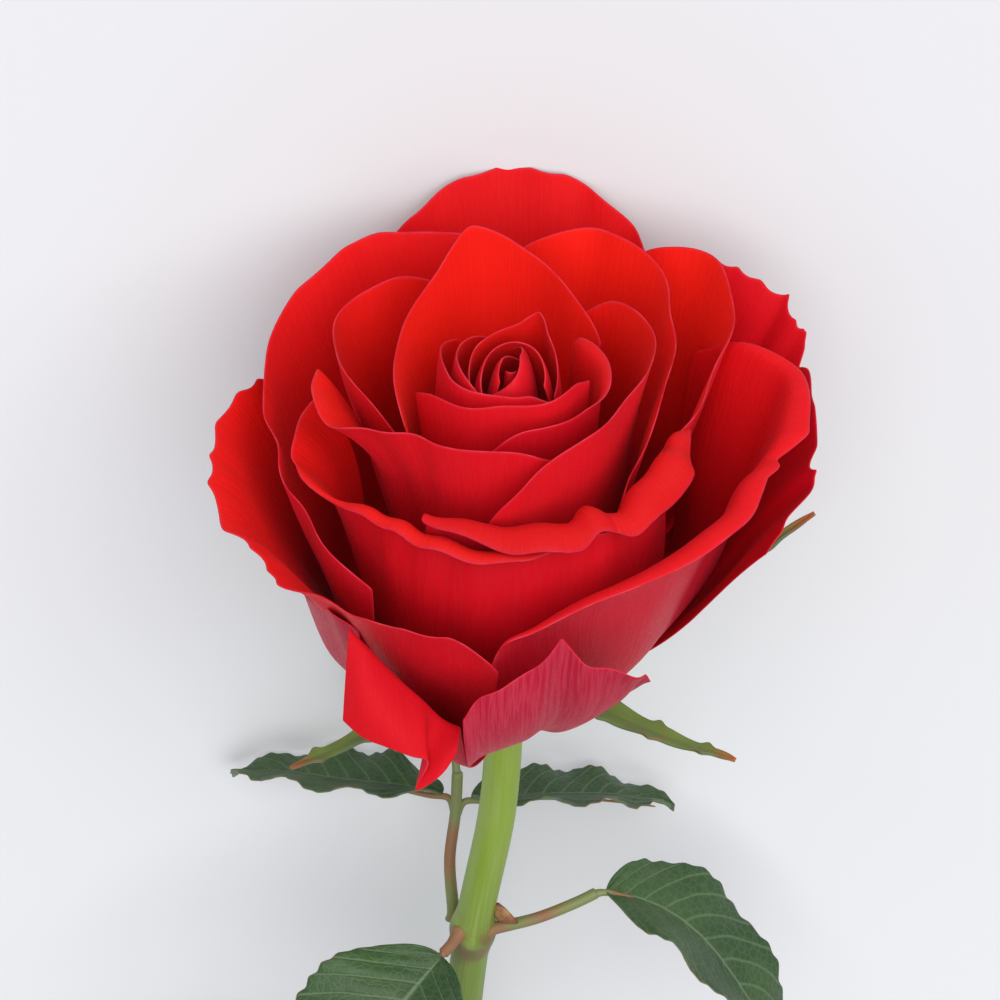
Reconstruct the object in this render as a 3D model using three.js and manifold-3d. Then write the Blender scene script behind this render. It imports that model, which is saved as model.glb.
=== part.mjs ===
// Cut rose: a full flower head on a leafy stem, lying on its side on a flat surface.
// Every petal, sepal and leaflet is its own thin closed shell. Millimetres, +Z up.
// Flower frame: the axis runs up +Z through the head, azimuth 0 is the front (-Y) and 90 the right (+X).
import * as THREE from 'three';
import { mergeVertices } from 'three/addons/utils/BufferGeometryUtils.js';
import { ConvexHull } from 'three/addons/math/ConvexHull.js';
import Module from 'manifold-3d';

// ---- driving dimensions ----
const petalThickness = 0.6;
const clawThickness = 0.3;
const nestStep = 1.2;           // each later petal stands this many walls further out
const petalRows = 6;            // quads from claw to rim
const clawRadiusFirst = 1.2;    // innermost petal, where it meets the hip
const clawLap = 0.35;           // how much closer than stacked walls the thin claws stand
const clawRadiusStep = petalThickness - clawLap;    // each later petal starts this much further out
const clawHeightFirst = -1;     // and this much lower
const clawHeightStep = 0.1;
const clawHalfAngle = 20;
const petalHandle = 18;
const bellyHeightFirst = 5.5;
const bellyHeightStep = 0.17;

const hipRadius = 7.4;
const hipLength = 12;
const hipClearance = 0.4;       // gap under the claws, and over the stem
const hipLip = 0.6;             // the hip's rim stands this far outside the last claw
const hipSides = 16;

const stemRadiusTop = 2.8;
const stemRadiusEnd = 3.5;
const stemLength = 275;
const stemSides = 10;
const stemSteps = 22;
const prickleLength = 5;
const prickleBase = 2.2;        // half its length along the stem
const prickleNarrow = 0.45;     // its width as a share of that length
const prickleHook = -8;
const prickleSides = 7;

const sepalWidth = 7;
const sepalThickness = 0.9;
const sepalClearance = 0.5;     // gap to the hip
const sepalRows = 7;
const sepalColumns = 4;
const sepalFold = 0.35;

const bladeThickness = 0.6;
const bladeRows = 7;
const bladeColumns = 6;
const bladeFold = 0.25;         // how far the two halves fold up, as a share of the width
const stalkRadius = 1.1;
const stalkSides = 7;
const stalkSteps = 8;
const leafClearance = 0.4;      // gap from a stalk's foot to the stem

// ---- colours ----
const petalRed = 0xd81a1f;
const stemGreen = 0x7d923e;
const hipGreen = 0x8a9a4c;
const sepalGreen = 0x788351;
const leafGreen = 0x486340;
const stalkGreen = 0x7a7f45;

// ---- helpers ----
const rad = THREE.MathUtils.degToRad;
const vec = (x, y, z) => new THREE.Vector3(x, y, z);

// A point in the flower frame from azimuth in degrees, radius and height.
function polar(azimuth, radius, height) {
  return vec(radius * Math.sin(rad(azimuth)), -radius * Math.cos(rad(azimuth)), height);
}

function material(color, roughness) {
  return new THREE.MeshStandardMaterial({ color, roughness, metalness: 0 });
}

// A closed shell over a grid of points, grid[row][column]; its thickness may grow from the first row on.
function shell(grid, thickness, firstThickness = thickness) {
  const rows = grid.length;
  const columns = grid[0].length;
  const at = (r, c) => grid[Math.min(rows - 1, Math.max(0, r))][Math.min(columns - 1, Math.max(0, c))];
  const positions = [];
  for (const side of [1, -1]) {
    for (let r = 0; r < rows; r += 1) {
      for (let c = 0; c < columns; c += 1) {
        const along = at(r + 1, c).clone().sub(at(r - 1, c));
        const across = at(r, c + 1).clone().sub(at(r, c - 1));
        const normal = across.cross(along).normalize();
        const wall = Math.min(thickness, firstThickness + ((thickness - firstThickness) * r) / 3);
        const point = at(r, c).clone().addScaledVector(normal, (side * wall) / 2);
        positions.push(point.x, point.y, point.z);
      }
    }
  }
  const index = [];
  const top = (r, c) => r * columns + c;
  const bottom = (r, c) => rows * columns + top(r, c);
  const quad = (a, b, c, d) => index.push(a, b, c, a, c, d);
  for (let r = 0; r < rows - 1; r += 1) {
    for (let c = 0; c < columns - 1; c += 1) {
      quad(top(r, c), top(r, c + 1), top(r + 1, c + 1), top(r + 1, c));
      quad(bottom(r, c), bottom(r + 1, c), bottom(r + 1, c + 1), bottom(r, c + 1));
    }
  }
  for (let c = 0; c < columns - 1; c += 1) {
    quad(top(0, c), bottom(0, c), bottom(0, c + 1), top(0, c + 1));
    quad(top(rows - 1, c), top(rows - 1, c + 1), bottom(rows - 1, c + 1), bottom(rows - 1, c));
  }
  for (let r = 0; r < rows - 1; r += 1) {
    quad(top(r, 0), top(r + 1, 0), bottom(r + 1, 0), bottom(r, 0));
    quad(top(r, columns - 1), bottom(r, columns - 1), bottom(r + 1, columns - 1), top(r + 1, columns - 1));
  }
  const geometry = new THREE.BufferGeometry();
  geometry.setAttribute('position', new THREE.Float32BufferAttribute(positions, 3));
  geometry.setIndex(index);
  return geometry;
}

// A flat-ended tube along a curve, its radius a function of the distance along it.
function tube(line, radius, sides, steps) {
  const frames = line.computeFrenetFrames(steps, false);
  const positions = [];
  for (let i = 0; i <= steps; i += 1) {
    const centre = line.getPointAt(i / steps);
    for (let k = 0; k < sides; k += 1) {
      const turn = (2 * Math.PI * k) / sides;
      const point = centre.clone()
        .addScaledVector(frames.normals[i], radius(i / steps) * Math.cos(turn))
        .addScaledVector(frames.binormals[i], radius(i / steps) * Math.sin(turn));
      positions.push(point.x, point.y, point.z);
    }
  }
  const index = [];
  for (let i = 0; i < steps; i += 1) {
    for (let k = 0; k < sides; k += 1) {
      const a = i * sides + k;
      const b = i * sides + ((k + 1) % sides);
      index.push(a, b, b + sides, a, b + sides, a + sides);
    }
  }
  for (let k = 1; k < sides - 1; k += 1) {
    index.push(0, k + 1, k);
    index.push(steps * sides, steps * sides + k, steps * sides + k + 1);
  }
  const geometry = new THREE.BufferGeometry();
  geometry.setAttribute('position', new THREE.Float32BufferAttribute(positions, 3));
  geometry.setIndex(index);
  return geometry;
}

// A hooked prickle: a flattened cone that leaves the stem and leans towards the cut end.
function prickle(at, radius, azimuth) {
  const cone = new THREE.ConeGeometry(prickleBase, prickleLength + radius, prickleSides);
  cone.scale(prickleNarrow, 1, 1);
  cone.translate(0, 0.5 * (prickleLength + radius), 0);
  cone.rotateZ(rad(prickleHook));
  const out = polar(azimuth, 1, 0).normalize();
  const basis = new THREE.Matrix4().makeBasis(out.clone().cross(vec(0, 0, 1)), out, vec(0, 0, 1));
  cone.applyMatrix4(basis);
  cone.translate(at.x, at.y, at.z);
  return cone;
}

// Half the width of a leaf blade and of a sepal, as a share of the full width, along its length.
const leafShape = (t) => 0.5 * Math.sin(Math.PI * t ** 0.85) ** 0.75 + 0.03;
const sepalShape = (t) => 0.4 * (1 - t) ** 0.8 + 0.05;

// A blade along its spine: it looks towards face, and its two halves fold up from the midrib.
function bladeGeometry(spine, face, width, thickness, { rows, columns, fold, shape }) {
  const grid = [];
  for (let r = 0; r <= rows; r += 1) {
    const t = r / rows;
    const centre = spine.getPoint(t);
    const along = spine.getTangent(t);
    const side = along.clone().cross(face).normalize();
    const up = side.clone().cross(along).normalize();
    const row = [];
    for (let c = 0; c <= columns; c += 1) {
      const v = (2 * c) / columns - 1;
      const half = width * shape(t);
      row.push(centre.clone().addScaledVector(side, half * v).addScaledVector(up, half * fold * Math.abs(v)));
    }
    grid.push(row);
  }
  return shell(grid, thickness);
}

// Geometry with only its positions, equal corners merged.
function plain(geometry) {
  const copy = geometry.index ? geometry.clone() : geometry;
  copy.deleteAttribute('normal');
  copy.deleteAttribute('uv');
  return mergeVertices(copy, 1e-4);
}

const wasm = await Module();
wasm.setup();

function solid(geometry) {
  const merged = plain(geometry);
  return new wasm.Manifold(new wasm.Mesh({
    numProp: 3,
    vertProperties: new Float32Array(merged.attributes.position.array),
    triVerts: new Uint32Array(merged.index.array),
  }));
}

// Several closed geometries joined into one.
function joined(first, ...others) {
  const whole = others.reduce((sum, next) => sum.add(solid(next)), solid(first)).getMesh();
  const geometry = new THREE.BufferGeometry();
  geometry.setAttribute('position', new THREE.BufferAttribute(new Float32Array(whole.vertProperties), 3));
  geometry.setIndex(new THREE.BufferAttribute(new Uint32Array(whole.triVerts), 1));
  return geometry;
}

function addPiece(name, geometry, color, roughness) {
  const mesh = new THREE.Mesh(geometry, material(color, roughness));
  mesh.name = name;
  rose.add(mesh);
}

// The centre of all the pieces' volume.
function centreOfMass(root) {
  const centre = vec(0, 0, 0);
  let volume = 0;
  root.traverse((piece) => {
    if (!piece.isMesh) return;
    const faces = piece.geometry.toNonIndexed().attributes.position;
    for (let i = 0; i < faces.count; i += 3) {
      const [a, b, c] = [0, 1, 2].map((k) => new THREE.Vector3().fromBufferAttribute(faces, i + k));
      const part = a.dot(b.clone().cross(c)) / 6;
      volume += part;
      centre.addScaledVector(a.add(b).add(c), part / 4);
    }
  });
  return centre.divideScalar(volume);
}

// The three points that the rose rests on with its back down, as the outward normal of that hull face.
function restingNormal(root) {
  const hull = new ConvexHull().setFromObject(root);
  const centre = centreOfMass(root);
  let best = null;
  for (const face of hull.faces) {
    const corners = [face.edge.prev, face.edge, face.edge.next].map((edge) => edge.head().point);
    const foot = centre.clone().addScaledVector(face.normal, face.distanceToPoint(centre) * -1);
    const inside = new THREE.Triangle(...corners).containsPoint(foot);
    if (inside && (!best || face.normal.y > best.y)) best = face.normal.clone();
  }
  return best;
}

// Turns the rose onto the back of its head, stem along +Y, and sets it on z = 0 with its box centred.
function layDown(flower) {
  const down = restingNormal(flower);
  const stemWay = vec(0, 0, -1).addScaledVector(down, down.z).normalize();
  const up = down.clone().negate();
  const basis = new THREE.Matrix4().makeBasis(stemWay.clone().cross(up), stemWay, up);
  flower.quaternion.setFromRotationMatrix(basis.transpose());
  flower.updateMatrixWorld(true);
  const box = new THREE.Box3().setFromObject(flower, true);
  flower.position.set(-0.5 * (box.min.x + box.max.x), -0.5 * (box.min.y + box.max.y), -box.min.z);
  const group = new THREE.Group();
  group.add(flower);
  return group;
}

// ---- petals ----
// Each petal leaves its claw, swells to its belly radius and arrives at the rim.
// The petals nest: each stands nestStep walls further out than the one before, and belly and the rim's
// radii are given less that.
// rim: [azimuth, radius, height] from the petal's one side edge to the other, azimuth never jumping.
// flare: how far the rim leans out, 0 upright, 90 level, more than 90 rolled down.
// handle: how long the petal heads that way before its rim.
const petals = [
  { name: 'heart_1', belly: 2, flare: 0, columns: 8,
    rim: [[-150, 1.3, 54], [-90, 1.5, 55.5], [0, 1.6, 56], [90, 1.5, 55.5], [150, 1.3, 54]] },
  { name: 'heart_2', claw: 70, belly: 2.68, flare: 0, columns: 8,
    rim: [[-60, 2.18, 53.5], [-10, 2.18, 55.5], [50, 2.18, 56.5], [110, 2.38, 56.5], [160, 2.58, 54.5]] },
  { name: 'heart_3', claw: 240, belly: 3.16, flare: 0, columns: 8,
    rim: [[110, 3.16, 53.5], [150, 2.96, 56], [210, 2.76, 57], [270, 2.86, 56.5], [320, 3.06, 54.5]] },
  { name: 'heart_4', claw: -215, belly: 3.64, flare: 0, columns: 10,
    rim: [[-55, 3.44, 54], [-95, 3.34, 56.5], [-150, 3.64, 57.5], [-195, 4.04, 58], [-245, 4.04, 57.5],
      [-300, 4.04, 55]] },
  { name: 'heart_5', claw: -165, belly: 4.32, flare: 2, columns: 7,
    rim: [[-75, 3.92, 54.5], [-110, 4.02, 57], [-155, 4.52, 58.5], [-190, 5.92, 60], [-208, 7.32, 62],
      [-228, 6.32, 60], [-262, 4.92, 57.5], [-300, 4.72, 55]] },
  { name: 'heart_6', claw: -115, belly: 4.6, flare: 4, columns: 5,
    rim: [[-165, 6, 55], [-138, 5.6, 57.5], [-108, 5, 58.5], [-80, 4.4, 58.5], [-55, 4, 57.5],
      [-25, 4, 55]] },
  { name: 'heart_7', claw: -45, belly: 5.08, flare: 4, columns: 5,
    rim: [[-140, 6.58, 55], [-115, 6.18, 57.5], [-80, 5.48, 58], [-45, 4.48, 57.5], [-10, 4.38, 57],
      [22, 4.38, 54.5]] },
  { name: 'inner_front', claw: 5, belly: 5.96, flare: 2, columns: 6,
    rim: [[-82, 7.56, 54], [-60, 6.76, 57], [-35, 5.36, 57.5], [0, 4.86, 57], [30, 5.06, 57.5],
      [55, 5.76, 57.5], [78, 6.56, 55]] },
  { name: 'inner_right', claw: 65, belly: 6.74, flare: 8, columns: 7,
    rim: [[130, 7.04, 53], [112, 8.44, 57.5], [90, 9.24, 58.5], [62, 8.84, 57.5], [36, 7.64, 57],
      [10, 8.44, 57], [-8, 9.84, 56], [-18, 10.24, 52]] },
  { name: 'pointed_back', claw: -160, belly: 7.52, flare: 10, columns: 14,
    rim: [[-50, 10.92, 53], [-72, 9.92, 57], [-112, 9.72, 57.5], [-148, 14.02, 58.5], [-168, 17.52, 62],
      [-190, 16.02, 59], [-214, 11.72, 57.5], [-240, 9.32, 54]] },
  { name: 'ring_left', claw: -108, belly: 8.3, flare: 14, columns: 10,
    rim: [[-48, 11.8, 51], [-72, 13, 56.5], [-98, 17.8, 56.5], [-124, 20.8, 55.5], [-143, 20.4, 55],
      [-162, 19.8, 50]] },
  { name: 'ring_front_left', claw: -34, belly: 9.08, flare: 12, columns: 12,
    rim: [[20, 10.28, 53], [-2, 10.48, 56.5], [-30, 11.48, 57], [-48, 13.48, 57.5, 20],
      [-60, 18.08, 58, 35], [-74, 21.58, 57.5, 45], [-96, 20.68, 53, 35]] },
  { name: 'ring_right', claw: 56, belly: 9.86, flare: 12, columns: 8,
    rim: [[150, 11.76, 51], [134, 13.76, 56], [110, 13.76, 57.5], [88, 11.16, 57.5], [62, 9.76, 57.5],
      [36, 10.16, 57.5], [12, 11.96, 55.5], [-2, 13.96, 51.5], [-10, 14.16, 46]] },
  { name: 'ring_back_right', claw: 150, belly: 11.04, flare: 16, columns: 14,
    rim: [[184, 20.14, 49], [172, 22.14, 54.5], [155, 25.64, 56], [137, 23.64, 55.5], [118, 18.14, 55],
      [92, 13.84, 54.5], [66, 12.44, 52], [48, 12.24, 44]] },
  { name: 'ring_outer_right', claw: 91, belly: 11.52, flare: 20, columns: 8,
    rim: [[156, 27.92, 45], [144, 29.92, 52], [130, 30.92, 54.5], [116, 26.92, 53.5], [98, 20.42, 53],
      [76, 16.52, 53], [54, 14.12, 49.5], [38, 13.32, 43], [30, 12.92, 36]] },
  { name: 'lip_right', claw: 6, belly: 17.2, flare: 95, handle: 7, columns: 14,
    rim: [[76, 19, 50], [62, 20.6, 52.5], [50, 22.2, 51], [37, 21.8, 50], [26, 20, 51], [10, 19.6, 50],
      [-10, 18.8, 49.5], [-28, 17.8, 48]] },
  { name: 'lip_left', claw: -48, belly: 17.48, flare: 90, handle: 6, columns: 14,
    rim: [[6, 20.48, 47], [-14, 20.48, 48], [-30, 19.88, 50], [-46, 21.48, 49.5], [-60, 22.68, 51],
      [-72, 22.68, 52.5], [-86, 21.48, 51], [-98, 20.48, 45]] },
  { name: 'guard_left_back', claw: -120, belly: 14.76, flare: 26, columns: 8,
    rim: [[-182, 20.76, 46], [-166, 24.26, 53], [-150, 27.76, 54], [-134, 25.26, 53], [-108, 24.36, 51.5],
      [-80, 23.96, 51.5], [-58, 24.16, 48.5], [-42, 24.16, 43], [-32, 23.76, 36]] },
  { name: 'guard_back', claw: -181, belly: 14.54, flare: 22, columns: 12,
    rim: [[-140, 25.64, 34], [-152, 29.04, 46], [-168, 32.04, 54.5], [-182, 33.54, 56.5],
      [-196, 33.04, 54.5], [-211, 29.64, 46], [-222, 25.64, 34]] },
  { name: 'guard_right', claw: 46, belly: 15.62, flare: 40, columns: 8,
    rim: [[124, 24.92, 40], [110, 26.92, 46], [96, 28.72, 49.5], [80, 28.32, 51.5], [62, 26.82, 50.5],
      [46, 25.32, 48], [29, 23.32, 44], [12, 22.32, 44], [-2, 21.72, 34]] },
  { name: 'guard_left', claw: -46, belly: 20.4, flare: 50, columns: 8,
    rim: [[-122, 25.6, 34, 24], [-106, 26.6, 42, 34], [-90, 28.2, 46, 46], [-74, 30.8, 48.5, 56],
      [-60, 30.4, 46, 54], [-46, 28.2, 42, 40], [-30, 25, 40.5, 26], [-14, 24, 39.5, 20],
      [-3, 23.2, 33, 20]] },
  { name: 'outer_back_right', claw: 130, belly: 17.88, flare: 34, columns: 5,
    rim: [[160, 29.88, 30], [148, 31.28, 41], [134, 32.28, 47.5], [120, 32.88, 47.5], [111, 30.48, 42],
      [104, 26.48, 33]] },
  { name: 'outer_back_left', claw: -150, belly: 17.56, flare: 34, columns: 8,
    rim: [[-168, 27.76, 26], [-154, 29.16, 34], [-139, 29.76, 38.5], [-124, 28.16, 34],
      [-112, 26.16, 26]] },
  { name: 'outer_right', claw: 85, belly: 16.44, flare: 60, columns: 6,
    rim: [[104, 28.04, 33, 36], [97, 29.04, 41, 52], [84, 28.44, 46], [72, 28.44, 46.5],
      [60, 27.04, 45, 52], [50, 24.84, 44, 36], [42, 23.04, 41, 22]] },
  { name: 'outer_left', claw: -94, belly: 15.72, flare: 14, columns: 6,
    rim: [[-102, 18.12, 20], [-86, 19.12, 28], [-66, 19.12, 31], [-46, 18.72, 28]] },
  { name: 'fold_left', claw: -20, belly: 19.2, flare: 95, handle: 7, columns: 8,
    rim: [[-38, 24, 35], [-30, 28, 33], [-22, 32, 30], [-12, 32, 29], [-6, 27, 30]] },
  { name: 'fold_front', claw: 22, belly: 18.28, flare: 46, columns: 8,
    rim: [[-3, 21.88, 28], [2, 21.28, 34], [11, 21.28, 40.5], [20, 24.28, 36.5], [29, 24.68, 32]] },
];

// The petal's middle surface at s (0 to 1 across) and t (0 at the claw, 1 at the rim).
function petalPoint(petal, order, s, t) {
  const rim = petal.curve.getPoint(s);
  const middle = petal.claw ?? petal.curve.getPoint(0.5).x;
  const base = middle + (s - 0.5) * 2 * clawHalfAngle * Math.sign(petal.rim.at(-1)[0] - petal.rim[0][0]);
  const spread = 1 - (1 - t) ** 2;
  const azimuth = base + (rim.x - base) * spread;
  const flare = rad(petal.leans.getPoint(s).x);
  const handle = petal.handle ?? petalHandle;
  const nested = nestStep * petalThickness * order;
  const radius = rim.y + nested;
  const profile = new THREE.CubicBezierCurve(
    new THREE.Vector2(clawRadiusFirst + clawRadiusStep * order, clawHeightFirst - clawHeightStep * order),
    new THREE.Vector2(petal.belly + nested, bellyHeightFirst - bellyHeightStep * order),
    new THREE.Vector2(radius - handle * Math.sin(flare), rim.z - handle * Math.cos(flare)),
    new THREE.Vector2(radius, rim.z),
  );
  const point = profile.getPoint(t);
  return polar(azimuth, point.x, point.y);
}

function petalGeometry(petal, order) {
  petal.curve = new THREE.CatmullRomCurve3(petal.rim.map((p) => vec(p[0], p[1], p[2])), false, 'centripetal');
  petal.leans = new THREE.CatmullRomCurve3(petal.rim.map((p, i) => vec(p[3] ?? petal.flare, i, 0)), false);
  const across = Math.sign(petal.rim.at(-1)[0] - petal.rim[0][0]);
  const grid = [];
  for (let r = 0; r <= petalRows; r += 1) {
    const row = [];
    for (let c = 0; c <= petal.columns; c += 1) {
      const s = across > 0 ? c / petal.columns : 1 - c / petal.columns;
      row.push(petalPoint(petal, order, s, r / petalRows));
    }
    grid.push(row);
  }
  return shell(grid, petalThickness, clawThickness);
}

const rose = new THREE.Group();
petals.forEach((petal, order) => {
  addPiece(`petal_${petal.name}`, petalGeometry(petal, order), petalRed, 0.6);
});

// ---- hip: the swollen base that the petals, sepals and stem join ----
const lastClawRadius = clawRadiusFirst + clawRadiusStep * (petals.length - 1);
const hipTop = clawHeightFirst - clawHeightStep * (petals.length - 1) - hipClearance;
const hipRimRadius = lastClawRadius + hipLip;
const hipBottom = hipTop - hipLength;
{
  const profile = new THREE.CatmullRomCurve3([
    vec(stemRadiusTop + 0.4, hipBottom, 0),
    vec(0.72 * hipRadius, hipBottom + 0.2 * hipLength, 0),
    vec(hipRadius, hipBottom + 0.5 * hipLength, 0),
    vec(0.9 * hipRadius, hipBottom + 0.8 * hipLength, 0),
    vec(hipRimRadius, hipTop - 0.6, 0),
  ]);
  const outline = profile.getPoints(8).map((p) => new THREE.Vector2(p.x, p.y));
  const rimTop = new THREE.Vector2(hipRimRadius, hipTop);
  const lathe = new THREE.LatheGeometry(
    [new THREE.Vector2(0, hipBottom), ...outline, rimTop, new THREE.Vector2(0, hipTop)],
    hipSides,
  );
  lathe.rotateX(Math.PI / 2);
  addPiece('hip', lathe, hipGreen, 0.6);
}

// ---- sepals: narrow green blades that spread from under the petals ----
// Each arches out from the hip; reach is the tip's distance from the axis, tip its height.
const sepals = [
  { name: 'right', azimuth: 62, reach: 40, tip: -7 },
  { name: 'back_right', azimuth: 111, reach: 48, tip: 11 },
  { name: 'back', azimuth: 176, reach: 36, tip: 3 },
  { name: 'back_left', azimuth: -121, reach: 44, tip: 10 },
  { name: 'left', azimuth: -58, reach: 39, tip: -6 },
];
for (const sepal of sepals) {
  const start = hipRadius + sepalClearance + 0.5 * sepalThickness;
  const height = hipTop - 0.3 * hipLength;
  const spine = new THREE.QuadraticBezierCurve3(
    polar(sepal.azimuth, start, height),
    polar(sepal.azimuth, 0.55 * sepal.reach, height - 1),
    polar(sepal.azimuth, sepal.reach, sepal.tip),
  );
  const face = polar(sepal.azimuth, -0.3, 1);
  const build = { rows: sepalRows, columns: sepalColumns, fold: sepalFold, shape: sepalShape };
  const geometry = bladeGeometry(spine, face, sepalWidth, sepalThickness, build);
  addPiece(`sepal_${sepal.name}`, geometry, sepalGreen, 0.7);
}

// ---- stem: bends gently, with prickles along its lower part ----
const stemTop = hipBottom - hipClearance;
const stemLine = new THREE.CatmullRomCurve3([
  vec(0, 0, stemTop), vec(-1.4, 0, stemTop - 25), vec(-5.6, 0, stemTop - 57), vec(-9, 0, stemTop - 110),
  vec(-9, 0, stemTop - 190), vec(-4, 0, stemTop - stemLength),
]);
const stemRadius = (t) => stemRadiusTop + (stemRadiusEnd - stemRadiusTop) * t;
const prickles = [
  { along: 0.36, azimuth: 70 }, { along: 0.47, azimuth: -35 }, { along: 0.66, azimuth: 150 },
  { along: 0.74, azimuth: 20 }, { along: 0.85, azimuth: -80 }, { along: 0.93, azimuth: 100 },
];
addPiece('stem', joined(
  tube(stemLine, stemRadius, stemSides, stemSteps),
  ...prickles.map((p) => prickle(stemLine.getPointAt(p.along), stemRadius(p.along), p.azimuth)),
), stemGreen, 0.5);

// ---- leaves ----
// A leaf is a stalk from the stem and its blades; each blade runs base, middle, tip, and face is the way
// its upper side looks.
const leaves = [
  { name: 'leaf_behind',
    stalk: [[-9, 4.4, -74], [-9.6, 8.5, -65], [-8.6, 13, -58], [-8.2, 16.4, -51]],
    blades: [
      { name: 'left', width: 17, base: [-11, 15.8, -57], middle: [-28, 21, -56], tip: [-48, 27, -64],
        face: [0.1, 0.42, 0.9] },
      { name: 'right', width: 15, base: [-5.8, 15, -57], middle: [12, 20, -60], tip: [30, 24, -70],
        face: [0, 0.42, 0.9] },
      { name: 'end', width: 19, base: [-9, 19, -49], middle: [-15, 27, -40], tip: [-22, 36, -24],
        face: [0.1, -0.5, 0.8] },
    ] },
  { name: 'leaf_right',
    stalk: [[-1.6, -1.5, -71], [5, -1.5, -68.5], [12, 0, -66], [15.4, 1, -64.6]],
    blades: [
      { name: 'blade', width: 27, base: [17, 1, -64.6], middle: [36, 4, -63], tip: [56, -16, -100],
        face: [0.45, 0.1, 0.89] },
    ] },
  { name: 'leaf_front',
    stalk: [[-8.6, -3.6, -71.4], [-10, -6, -72], [-11, -8.5, -72.4], [-12, -10.5, -72.6]],
    blades: [
      { name: 'blade', width: 33, base: [-13, -12.2, -72.8], middle: [-20, -24, -70], tip: [-34, -44, -92],
        face: [-0.1, -0.2, 0.97] },
    ] },
  { name: 'leaf_low',
    stalk: [[-13.4, 1, -166], [-24, 2, -160], [-44, 6, -158], [-66, 10, -160]],
    blades: [
      { name: 'near_up', width: 19, base: [-26, 3.4, -157.6], middle: [-30, 4, -146], tip: [-38, 8, -130],
        face: [0.3, -0.9, 0.3] },
      { name: 'near_down', width: 20, base: [-27, 3.4, -162.4], middle: [-31, 4, -176], tip: [-42, 9, -192],
        face: [0.2, -0.9, -0.2] },
      { name: 'far_up', width: 22, base: [-47, 7.4, -155.8], middle: [-52, 7, -144], tip: [-62, 13, -128],
        face: [0.3, -0.9, 0.3] },
      { name: 'far_down', width: 22, base: [-48, 7.4, -160.6], middle: [-54, 7, -174], tip: [-66, 14, -190],
        face: [0.2, -0.9, -0.2] },
      { name: 'end', width: 25, base: [-68, 10.6, -160.4], middle: [-84, 9, -164], tip: [-104, 17, -172],
        face: [0.2, -0.95, 0] },
    ] },
];

// How far a leaf moves for its stalk's foot to stand leafClearance off the stem.
function leafShift(leaf) {
  const foot = vec(...leaf.stalk[0]);
  const way = vec(...leaf.stalk[1]).sub(foot).normalize();
  const along = (stemTop - foot.z) / stemLength;
  const outward = foot.clone().sub(stemLine.getPointAt(along)).setZ(0);
  const distance = outward.length();
  outward.normalize();
  const footReach = stalkRadius * Math.sqrt(1 - way.dot(outward) ** 2);
  return outward.multiplyScalar(stemRadius(along) + leafClearance + footReach - distance);
}

for (const leaf of leaves) {
  const shift = leafShift(leaf);
  const place = (p) => vec(...p).add(shift);
  const line = new THREE.CatmullRomCurve3(leaf.stalk.map(place));
  addPiece(`${leaf.name}_stalk`, tube(line, () => stalkRadius, stalkSides, stalkSteps), stalkGreen, 0.6);
  for (const blade of leaf.blades) {
    const spine = new THREE.QuadraticBezierCurve3(place(blade.base), place(blade.middle), place(blade.tip));
    const build = { rows: bladeRows, columns: bladeColumns, fold: bladeFold, shape: leafShape };
    const geometry = bladeGeometry(spine, vec(...blade.face), blade.width, bladeThickness, build);
    addPiece(`${leaf.name}_${blade.name}`, geometry, leafGreen, 0.5);
  }
}

export default layDown(rose);
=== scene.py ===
import math

import bmesh
import bpy
from mathutils import Matrix, Vector, noise


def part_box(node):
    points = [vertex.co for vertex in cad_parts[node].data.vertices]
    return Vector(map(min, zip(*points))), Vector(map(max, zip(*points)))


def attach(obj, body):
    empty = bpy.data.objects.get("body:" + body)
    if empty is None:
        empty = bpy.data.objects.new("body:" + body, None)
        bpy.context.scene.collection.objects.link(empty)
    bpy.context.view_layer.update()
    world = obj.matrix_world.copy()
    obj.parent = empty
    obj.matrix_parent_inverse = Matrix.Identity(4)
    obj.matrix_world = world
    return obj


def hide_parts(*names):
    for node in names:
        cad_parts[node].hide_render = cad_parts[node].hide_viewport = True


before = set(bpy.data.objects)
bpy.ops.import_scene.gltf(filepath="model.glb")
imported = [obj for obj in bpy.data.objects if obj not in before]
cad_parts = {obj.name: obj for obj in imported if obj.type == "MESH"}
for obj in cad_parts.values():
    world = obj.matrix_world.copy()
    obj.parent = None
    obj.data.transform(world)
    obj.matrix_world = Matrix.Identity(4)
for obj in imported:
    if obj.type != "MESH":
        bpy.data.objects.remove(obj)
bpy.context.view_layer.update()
scene = bpy.context.scene
noise.seed_set(5)  # the slow field of noise vectors is then the same in each run
print("frame loaded")

# The rose is shaped in its own frame, in millimetres: axis up +Z, front at -Y, azimuth 0 at the front.
# Lying down, it is tilted onto the back of its head, and its place comes from the hip.
lying = {"tilt": 82.917, "turn": 179.49, "hipToOrigin": (0, -9.609, 0.530)}
mm = 0.001
hipLow, hipHigh = (Vector(corner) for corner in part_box("hip"))
roseOrigin = (hipLow + hipHigh) / 2 + Vector(lying["hipToOrigin"]) * mm
tilt, turn = math.radians(lying["tilt"]), math.radians(lying["turn"])
roseTurn = Matrix.Rotation(tilt, 4, "X") @ Matrix.Rotation(turn, 4, "Z")
toWorld = Matrix.Translation(roseOrigin) @ roseTurn @ Matrix.Scale(mm, 4)


def polar(azimuth, radius, height):
    turn = math.radians(azimuth)
    return Vector((radius * math.sin(turn), -radius * math.cos(turn), height))


def mix(a, b, share):
    return a + (b - a) * share


def ease(x, low, high):
    x = min(1, max(0, (x - low) / (high - low)))
    return x * x * (3 - 2 * x)


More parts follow.
